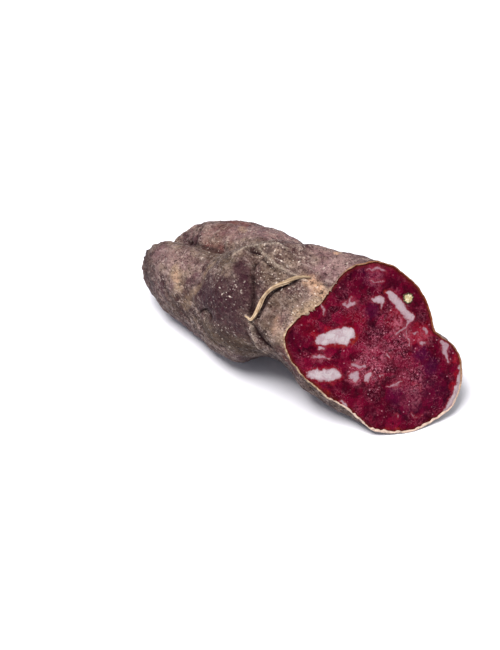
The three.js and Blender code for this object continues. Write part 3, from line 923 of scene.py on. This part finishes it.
MEAT_AREAS = {  # (across, up, radius, strength)
    "purple": [(21.1, -7.1, 4.5, 1.0), (24.6, -14.8, 5.0, 0.9), (0.5, 16.7, 4.2, 0.7),
               (6.7, -23.6, 4.5, 0.7), (3, 33, 6, 0.45), (23.8, -25.5, 9, 0.35), (13, -30, 8, 0.4)],
    "dark": [(1.8, 7.4, 4.0, 0.9), (23.8, -25.5, 9.0, 0.45), (-10, 31, 8, 0.55), (-34, 12, 7, 0.75),
             (14, 27, 4, 0.5), (-2, -30, 7, 0.4)],
    "bright": [(21.6, 1.7, 5.5, 0.7), (-30, 15, 6, 0.25), (38.0, -13.0, 2.4, 1.0),
               (37.3, -20.0, 2.2, 1.0), (34.6, -25.0, 2.2, 0.9), (12.5, 11, 6, 0.5), (-8, 14, 6, 0.3)],
    "pink": [(12.5, 8.5, 3.5, 0.8), (9, 5, 2.5, 0.7), (16, 3, 2.5, 0.6), (-11, -12, 3.4, 0.9),
             (-5, -12.5, 2.4, 0.8), (-9, -7, 3, 0.7), (8, -19, 3, 0.5), (5, 34, 4, 0.35),
             (5, 30, 3, 0.3), (-9, 22, 2.5, 0.6), (34, -7, 3, 0.6), (-18.5, -25, 2.2, 0.8),
             (-26, 0.3, 2.6, 0.6), (-24, 4, 1.6, 0.5), (36, -28, 3, 0.5), (15, -27, 5, 0.35),
             (2, -3, 6, 0.3), (23, 0, 4, 0.45)],
    "torn": [(3.9, 4.5, 5.5, 0.8), (-1.7, -7.6, 9.5, 1.0), (10.8, -1.3, 7.5, 1.0),
             (16.4, -17.6, 8.0, 0.8), (8, 12, 6, 0.6)],
    "flush": [(-27, 11.2, 1.6, 0.9), (-21, 12.4, 1.6, 0.9), (-33.5, -9.5, 1.8, 0.7), (38, -13, 1.6, 0.6)],
    "halo": [(0.4, -38.2, 1.6, 0.8), (5.3, -39.8, 1.6, 0.8), (8.2, 24.2, 1.2, 0.6),
             (-30, -13.8, 2.4, 0.9), (-24, -15.5, 2.6, 0.8), (-9, 4.8, 3.2, 0.9), (-15, 4.4, 2.6, 0.8),
             (-20, 5.2, 2.2, 0.6)],
}


def chain_gap(across, up, discs):
    """Distance to a chain of discs: to the nearest link between two centres, less the radius there."""
    nearest = np.full(across.shape, np.inf)
    for (ax, ay, ar), (bx, by, br) in zip(discs[:-1], discs[1:]):
        wx, wy = bx - ax, by - ay
        part = np.clip(((across - ax) * wx + (up - ay) * wy) / (wx * wx + wy * wy), 0, 1)
        gap = np.hypot(across - ax - part * wx, up - ay - part * wy) - (ar + part * (br - ar))
        nearest = np.minimum(nearest, gap)
    return nearest


print(len(FAT), "pieces of fat")

# %% [markdown]
# ## Fields over the cut face
# Two questions decide every point of the face: how far is it from fat, and which area of the meat is it in.
# The fat's outline is bent by noise before it is measured, so that a chain of discs looks like a torn lump.

# %% Grid and fields of the cut face
FACE_AROUND = 560
FACE_SHARES = 158
CROWDING = 0.7  # below 1, so that the rings crowd towards the edge
MEAT_INSET, MEAT_OFF_TABLE = 0.45, 0.3
face_angle = full_turn(FACE_AROUND)
face_reach = np.interp(face_angle, angle, cut_reach, period=2 * np.pi) - MEAT_INSET
face_lean = np.interp(face_angle, angle, lean_in, period=2 * np.pi)
face_share = (np.arange(1, FACE_SHARES + 1) / FACE_SHARES) ** CROWDING
radius = face_reach[None, :] * face_share[:, None]
across, up = radius * np.cos(face_angle), radius * np.sin(face_angle)
from_edge = face_reach[None, :] - radius
plane = np.stack([across, up, np.zeros_like(across)], axis=-1)

bend_x = 0.9 * layered(plane, 3.8, 71) + 0.2 * rough(plane, 1.0, 75)
bend_y = 0.9 * layered(plane, 3.8, 81) + 0.2 * rough(plane, 1.0, 85)
gaps = np.stack([chain_gap(across + bend_x, up + bend_y, discs) for discs, _ in FAT.values()])
nearest = gaps.argmin(axis=0)
fat_gap = gaps.min(axis=0)
pinkness = np.array([pink for _, pink in FAT.values()])[nearest]
white_gap = gaps[[list(FAT).index(name) for name in ("large_white", "low_white")]].min(axis=0)


def face_area(spots, seed):
    """The strongest spot at each point, fading past its radius, with a ragged edge."""
    ragged = 1 + 0.4 * layered(plane, 4, seed)
    fades = []
    for x, y, radius, hold in spots:
        fades.append(hold * (1 - smooth_step(np.hypot(across - x, up - y) * ragged / radius, 0.4, 1.4)))
    return np.max(fades, axis=0)


areas = {name: face_area(spots, seed) for seed, (name, spots) in enumerate(MEAT_AREAS.items(), 91)}
glow = smooth_step(rough(plane, 5, 131) + 0.55 - 0.25 * (up - 8) / 5, 0.0, 0.6)
areas["flush"] = np.maximum(areas["flush"], 0.45 * glow * (1 - smooth_step(white_gap, 0.3, 2.0)))
areas["halo"] *= np.maximum(1 - smooth_step(fat_gap, 0.4, 1.9), 1 - smooth_step(from_edge, 1.5, 3.2))
print("fat covers", np.average(fat_gap < 0, weights=radius).round(3), "of the cut")

# %% Relief of the cut face
grains = np.abs(rough(plane, 3.6, 101))
fine_grains = rough(plane, 1.2, 102)
pits = smooth_step(rough(plane, 2.1, 103) + 0.35 * areas["torn"], 0.62, 0.95)
lean = smooth_step(fat_gap, -0.4, 0.5)
height = 0.28 * np.minimum(grains, 0.6) + 0.1 * fine_grains * (0.4 + areas["torn"])
height = lean * (height - 0.75 * pits * areas["torn"])
height += (1 - lean) * (0.12 + 0.05 * rough(plane, 2.5, 104))
height += 0.3 * rough(plane, 16, 105) - 0.1 - 0.35 * (1 - smooth_step(from_edge, 0.2, 1.8))
print("face relief from", height.min().round(2), "to", height.max().round(2), "mm")

# %% Puck of meat
front = CUT_CENTRE + across[..., None] * CUT_LEVEL + up[..., None] * CUT_RISE + height[..., None] * CUT_NORMAL
face_way = np.cos(face_angle)[:, None] * CUT_LEVEL + np.sin(face_angle)[:, None] * CUT_RISE
BED_GAP, TAPER = 0.1, 0.3  # left free behind the meat, and taken off its radius at the back
puck_back = RECESS - BED_GAP
tuck = (TAPER + RECESS * face_lean)[:, None] * face_way
side = front[-1] - (height[-1][:, None] + puck_back) * CUT_NORMAL - tuck
meat_rings = np.concatenate([front, side[None]])
meat_rings[..., 2] = np.maximum(meat_rings[..., 2], MEAT_OFF_TABLE)
back_point = CUT_CENTRE - puck_back * CUT_NORMAL
meat = make_piece("cut_meat", *closed_rings(meat_rings, front[0].mean(axis=0), back_point))

layers = {"fat_gap": (fat_gap, 5.0), "pinkness": (pinkness, 0.5), "from_edge": (from_edge, 0.0)}
layers.update({name: (strength, 0.0) for name, strength in areas.items()})
for name, (values, at_back) in layers.items():
    rings = np.vstack([values, np.full(FACE_AROUND, at_back)])
    paint_rings(meat, name, rings, values[0].mean(), at_back)

# %% [markdown]
# ## Finish of the meat
# Lean meat is dark red with purple and brighter areas, and light goes a little way into it, which
# subsurface scattering gives. Fat is nearly white and waxier. The numbers on the points say roughly where
# the fat is, and fine noise added to them in the material makes its edge crisp and ragged, finer than the
# grid.

# %% Meat material
flesh = Recipe(
    "cut_meat",
    0.34,
    Specular_IOR_Level=0.02,
    Subsurface_Weight=0.08,
    Subsurface_Radius=(0.0022, 0.0007, 0.0006),
    Subsurface_Scale=1.0,
)
flesh.colour = flesh.mix(flesh.patches((5.5, 4, 0.6, 0.8), 0.36, 0.62), (48, 0, 14), (81, 0, 25))
shades = flesh.specks(4.2, flesh.stretched((1, 1, 0.8), (0.4, 0.7, 0.2)))[1]
flesh.lay(flesh.band(shades, 0.5, 1.0, 0, 0.6), (112, 5, 40))
flesh.lay(flesh.times(flesh.layer("dark"), 0.7), (40, 0, 17))
flesh.lay(flesh.times(flesh.layer("purple"), 0.75), (62, 6, 42))
flesh.lay(flesh.times(flesh.layer("bright"), flesh.patches((2.4, 3, 0.6), 0.3, 0.6, 0.3, 0.95)), (132, 7, 24))
patch = flesh.patches((1.8, 3), 0.3, 0.6, 0.3, 1)
flesh.lay(flesh.times(flesh.layer("flush"), patch), (126, 5, 16))
flesh.lay(flesh.times(flesh.layer("halo"), patch), (128, 36, 20))

veil = flesh.patches((9, 4, 0.6, 1.0), 0.5, 0.62)
film_room = flesh.plus(flesh.times(flesh.layer("torn"), 0.13), flesh.times(veil, 0.22))
flesh.lay(flesh.times(flesh.patches((3.4, 5, 0.7, 2.0), 0.44, 0.6), film_room), (152, 58, 82))
marble = flesh.patches((2.0, 5, 0.7, 0.8), 0.42, 0.58)
flesh.lay(flesh.times(flesh.layer("pink"), marble, 0.9), (160, 88, 104))
# painted highlights and painted shade: pale glints and dark pits, mostly where the meat is torn
glint_and_pit_room = flesh.plus(flesh.times(flesh.layer("torn"), 0.75), flesh.times(veil, 0.12))
flesh.lay(flesh.times(flesh.patches((1.0, 4, 0.7, 0.4), 0.54, 0.66), glint_and_pit_room), (196, 108, 128))
flesh.lay(flesh.patches((0.85, 2, 0.7), 0.5, 0.62, 0, 0.4), (34, 0, 12))
flesh.lay(flesh.times(flesh.patches((1.9, 5, 0.74, 0.8), 0.55, 0.62), glint_and_pit_room), (22, 0, 8))
threads = flesh.sum("ABSOLUTE", flesh.sum("SUBTRACT", flesh.noise(3.2, 4, 0.62, 1.8), 0.5))
thread_room = flesh.patches((6, 2, 0.5), 0.46, 0.62, 0.04, 0.4)
thread_room = flesh.plus(thread_room, flesh.times(flesh.layer("torn"), 0.6))
flesh.lay(flesh.times(flesh.band(threads, 0.0, 0.026, 1, 0), thread_room), (172, 92, 112))
for size, reach, rare, everywhere in ((1.4, 0.24, 0.55, 0.12), (2.4, 0.2, 0.5, 0.5)):
    room = flesh.plus(flesh.times(flesh.layer("torn"), 1 - everywhere), everywhere)
    flesh.lay(flesh.times(flesh.flecks(size, reach, rare, 0.35), room), (196, 138, 150))

flesh.lay(flesh.band(flesh.layer("from_edge"), 0.3, 2.2, 0.7, 0), (80, 22, 16))
ragged = flesh.times(flesh.sum("SUBTRACT", flesh.noise(1.6, 5, 0.62), 0.5), 2.0)
ragged_gap = flesh.plus(flesh.layer("fat_gap"), ragged)
flesh.lay(flesh.band(ragged_gap, -0.3, 1.2, 0.5, 0), (118, 28, 42))
fat_tone = flesh.mix(flesh.layer("pinkness"), (176, 166, 169), (130, 86, 101))
fat_tone = flesh.mix(flesh.patches((3.2, 4, 0.65, 0.8), 0.44, 0.64, 0, 0.6), fat_tone, (142, 112, 121))
fat_tone = flesh.mix(flesh.band(ragged_gap, -2.0, -0.3, 0, 0.5), fat_tone, (146, 114, 124))
flesh.lay(flesh.band(ragged_gap, -0.8, 0.12, 1, 0), fat_tone)
bits = flesh.plus(flesh.noise(0.9, 3, 0.65), flesh.times(flesh.noise(2.6, 3, 0.6), 1.2))
flesh.dress(meat, flesh.bump(bits, 0.5), flesh.patches((2.8, 4, 0.65), 0.36, 0.64, 0.26, 0.5))
print("meat finish has", len(flesh.tree.nodes), "nodes")

# %% [markdown]
# ## The cut peppercorn
# The knife went through one peppercorn. It shows as a pale yellow-green disc inside a dark wrinkled skin. A
# sphere cut by a Boolean would do, but a profile spun round its axis lets the skin wrinkle and stand proud
# of the flesh.

# %% Peppercorn
PEPPER_AT = np.array((48.7, 21.8, 52.2))
PEPPER_RADIUS = 2.3
PEPPER_SIDES = 72
pepper_profile = np.array(  # distance from the axis as a share of the radius, height in millimetres
    [(0.12, 0.42), (0.35, 0.5), (0.55, 0.46), (0.7, 0.5), (0.78, 0.42), (0.82, 0.6), (0.9, 0.68),
     (0.99, 0.5), (1.03, 0.1), (1.0, -0.6), (0.8, -1.3), (0.45, -1.7)]
)


def spun_about_cut(profile, centre, radius, sides, wrinkle, seed):
    """A profile turned about the cut's normal: radius * share * (1 + wrinkle * noise) at each angle."""
    turn = full_turn(sides)
    way = np.cos(turn)[:, None] * CUT_LEVEL + np.sin(turn)[:, None] * CUT_RISE
    wobble = 1 + wrinkle * rough(6 * way, 2.0, seed)
    flat = centre + (profile[:, 0] * radius)[:, None, None] * (way * wobble[:, None])[None]
    lifted = profile[:, 1][:, None] + 0.12 * rough(flat * 3, 2.4, seed + 1)
    return flat + lifted[..., None] * CUT_NORMAL


pepper_rings = spun_about_cut(pepper_profile, PEPPER_AT, PEPPER_RADIUS, PEPPER_SIDES, 0.35, 111)
pepper_ends = (PEPPER_AT + 0.4 * CUT_NORMAL, PEPPER_AT - 1.8 * CUT_NORMAL)
peppercorn = make_piece("peppercorn", *closed_rings(pepper_rings, *pepper_ends))
husk = np.repeat(smooth_step(pepper_profile[:, 0], 0.74, 0.84), PEPPER_SIDES)
paint_rings(peppercorn, "husk", husk, last=1)

corn = Recipe("cut_peppercorn", 0.6, Specular_IOR_Level=0.3)
corn.colour = corn.mix(corn.patches((0.9, 3), 0.35, 0.65), (164, 146, 98), (206, 198, 168))
corn.lay(corn.patches((1.1, 3, 0.6, 0.5), 0.56, 0.64, 0, 0.7), (118, 92, 56))
shell = corn.mix(corn.patches((0.7, 3), 0.4, 0.6), (44, 34, 22), (92, 78, 50))
corn.lay(corn.layer("husk"), shell)
corn.dress(peppercorn, corn.bump(corn.noise(0.5, 3), 0.2))

# %% [markdown]
# ## The dried strand
# A loose strand of gut dried onto the waist: a cream, twisted, fibrous strip with a hooked free end. A
# bevelled curve would be a plain tube. Here a profile is carried along the route, and its radius has five
# fibres that turn by about half a turn on the way.

# %% Strand
STRAND_ROUTE = [
    (13, -5.2, 62.8), (10.1, -7.6, 62.9), (7.5, -9.9, 62.2), (5.8, -13.4, 61.4), (3.9, -16, 60.4),
    (1.6, -19.5, 58.6), (0.7, -23.3, 56), (0.6, -26.3, 52.5), (0.6, -28.6, 49.7), (-0.2, -30.8, 47.1),
    (-2, -31.2, 47.5), (-3.6, -31.3, 47.6),
]
STRAND_HALF_WIDTH = [0.4, 0.75, 0.95, 1.05, 1.1, 1.0, 1.05, 1.0, 0.9, 0.85, 0.65, 0.3]


def strand_rings(steps=220, sides=40):
    """At each step an oval, half width times (1 + fibre), where fibre is a sine round the strand that
    twists along it."""
    path = along(STRAND_ROUTE, steps)
    step = np.linspace(0, 1, steps)
    half = np.interp(step, np.linspace(0, 1, len(STRAND_HALF_WIDTH)), STRAND_HALF_WIDTH)
    ahead = unit(np.gradient(path, axis=0))
    outward = (path - (SPINE_END + CUT_CENTRE) / 2) * (0, 1, 1)
    beside = unit(np.cross(ahead, outward))
    above = np.cross(beside, ahead)
    turn, step = full_turn(sides), step[:, None]
    fibre = 0.13 * np.sin(5 * turn + 14 * step) + 0.07 * np.sin(9 * turn - 9 * step + 1)
    fibre -= 0.3 * np.cos(turn + 0.4) ** 8
    places = np.stack(np.broadcast_arrays(16 * step, 2 * np.cos(turn), 2 * np.sin(turn)), axis=-1)
    ragged = 0.24 * rough(places, 1.3, 121) + 0.1 * rough(places, 0.6, 122)
    reach = half[:, None] * (1 + fibre + ragged)
    lean = 0.6 * np.sin(9 * step + 0.5)
    side_way = (np.cos(lean) * beside + np.sin(lean) * above)[:, None]
    top_way = (np.cos(lean) * above - np.sin(lean) * beside)[:, None]
    oval = reach[..., None] * (np.cos(turn)[:, None] * side_way + 0.6 * np.sin(turn)[:, None] * top_way)
    return path[:, None] + oval, fibre, path


strand_surface, fibres, strand_path = strand_rings()
strand = make_piece("dried_strand", *closed_rings(strand_surface, strand_path[0], strand_path[-1]))
from_root = np.repeat(np.linspace(0, 1, len(strand_path)), fibres.shape[1])
paint_rings(strand, "root", 1 - smooth_step(from_root, 0.15, 0.45), first=1)
# painted shade in the gaps between the fibres
paint_rings(strand, "fibre_gap_shade", smooth_step(-fibres, 0.0, 0.18))

sinew = Recipe("dried_strand", 0.55, Specular_IOR_Level=0.35)
sinew.colour = sinew.mix(sinew.patches((2.5, 3), 0.35, 0.65), (194, 170, 140), (150, 122, 92))
sinew.lay(sinew.times(sinew.layer("root"), 0.6), (118, 98, 74))
# painted shade in the gaps between the fibres
sinew.lay(sinew.times(sinew.layer("fibre_gap_shade"), 0.7), (84, 62, 44))
sinew.dress(strand, sinew.bump(sinew.noise(0.6, 3), 0.2))

# %% [markdown]
# ## The pieces on the body
# All four pieces ride on the one body, and together they replace the CAD solid, which stays for the
# physics.

# %% Pieces on the body
for piece, slot in ((casing, "casing"), (meat, "meat"), (peppercorn, "peppercorn"), (strand, "sinew")):
    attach(piece, "root")
    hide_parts("sausage")
print("pieces:", [piece.name for piece in (casing, meat, peppercorn, strand)])

# %% [markdown]
# ## Floor, light and camera
# The sausage lies on plain white. A soft light high above, a little towards the camera, leaves a soft
# shadow close round it. The world is white overhead and dim blue near the horizon, which fills the shadow
# as daylight would. The camera looks down from the front right.

# %% Floor and light
TABLE_SIDE = 4  # in metres
SKY_STRENGTH = 0.7
bpy.ops.mesh.primitive_plane_add(size=TABLE_SIDE)
floor = bpy.context.object
floor.name = "floor"
floor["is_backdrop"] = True
tabletop = Recipe("white_tabletop", 0.7, Specular_IOR_Level=0.2)
tabletop.colour = paint(230, 230, 237)
tabletop.dress(floor)

world = bpy.data.worlds.new("studio")
bpy.context.scene.world = world
world.use_nodes = True
sky = world.node_tree
UPWARD = (0.15, 0.1, 1)  # the way in which the world is brightest
HORIZON, OVERHEAD = (0.15, 0.19, 0.42, 1), (1, 0.99, 0.97, 1)
every_way = add_node(sky, "TexCoord", {})["Generated"]
toward = add_node(sky, "VectorMath", {0: every_way, 1: UPWARD}, operation="DOT_PRODUCT")["Value"]
rise = {"Value": toward, "From Min": -0.1, "From Max": 0.75}
rise = add_node(sky, "MapRange", rise, interpolation_type="SMOOTHSTEP")["Result"]
tent = add_node(sky, "Mix", {0: rise, 6: HORIZON, 7: OVERHEAD}, data_type="RGBA")[2]
feed(sky, sky.nodes["Background"].inputs["Color"], tent)
feed(sky, sky.nodes["Background"].inputs["Strength"], SKY_STRENGTH)


def soft_light(name, place, target, size, power, tint):
    """A square area light at a place in metres, turned to face a target."""
    lamp = bpy.data.lights.new(name, "AREA")
    lamp.size, lamp.energy, lamp.color = size, power, tint
    light = bpy.data.objects.new(name, lamp)
    bpy.context.scene.collection.objects.link(light)
    way = np.array(target) - np.array(place)
    light.location = place
    light.rotation_euler = (np.arctan2(np.hypot(way[0], way[1]), -way[2]), 0, np.arctan2(-way[0], way[1]))


soft_light(
    "overhead",
    place=(0.02, -0.42, 1.12),
    target=(0, 0, 0.03),
    size=0.5,
    power=21,
    tint=(1, 0.975, 0.95),
)
bpy.context.scene.view_settings.view_transform = "Standard"
print("tabletop finish has", len(tabletop.tree.nodes), "nodes")

# %% Camera
PHOTO_WIDTH, PHOTO_HEIGHT = 500, 650
LOOK_FROM, LOOK_DOWN = np.radians(40), np.radians(43)
DISTANCE = 750
PIXELS_PER_MM = 2.2
CUT_PIXEL = (375, 347)
SENSOR_WIDTH = 36


def photo_camera():
    """The camera from which the middle of the cut falls on its pixel at the photograph's scale."""
    right = np.array([np.cos(LOOK_FROM), np.sin(LOOK_FROM), 0])
    level = np.array([np.sin(LOOK_FROM), -np.cos(LOOK_FROM), 0])
    behind = level * np.cos(LOOK_DOWN) + np.array([0, 0, np.sin(LOOK_DOWN)])
    upward = np.cross(behind, right)
    place = CUT_CENTRE + DISTANCE * behind
    place = place - right * (CUT_PIXEL[0] - PHOTO_WIDTH / 2) / PIXELS_PER_MM
    place = place + upward * (CUT_PIXEL[1] - PHOTO_HEIGHT / 2) / PIXELS_PER_MM
    lens = bpy.data.cameras.new("photo_camera")
    lens.sensor_width = SENSOR_WIDTH
    lens.lens = PIXELS_PER_MM * DISTANCE * SENSOR_WIDTH / PHOTO_HEIGHT
    lens.clip_start = 0.01
    camera = bpy.data.objects.new("photo_camera", lens)
    camera.location = (place + ROW_SHIFT) * MM
    camera.rotation_euler = (np.pi / 2 - LOOK_DOWN, 0, LOOK_FROM)
    bpy.context.scene.collection.objects.link(camera)
    return camera


bpy.context.scene.camera = photo_camera()
print("lens", round(bpy.context.scene.camera.data.lens, 1), "mm")

# %% [markdown]
# ## Sizes
# Both boxes, the CAD's and the visual pieces', are kept in sizes, and the visual one is printed. The
# visual pieces have to stay in the CAD's box.

# %% Sizes and finish
visual_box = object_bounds()
sizes = {"cad": cad_box, "visual": visual_box}
sizes = {name: [list(map(float, corner)) for corner in box] for name, box in sizes.items()}
print("visual box in metres:", [np.round(corner, 4).tolist() for corner in visual_box])
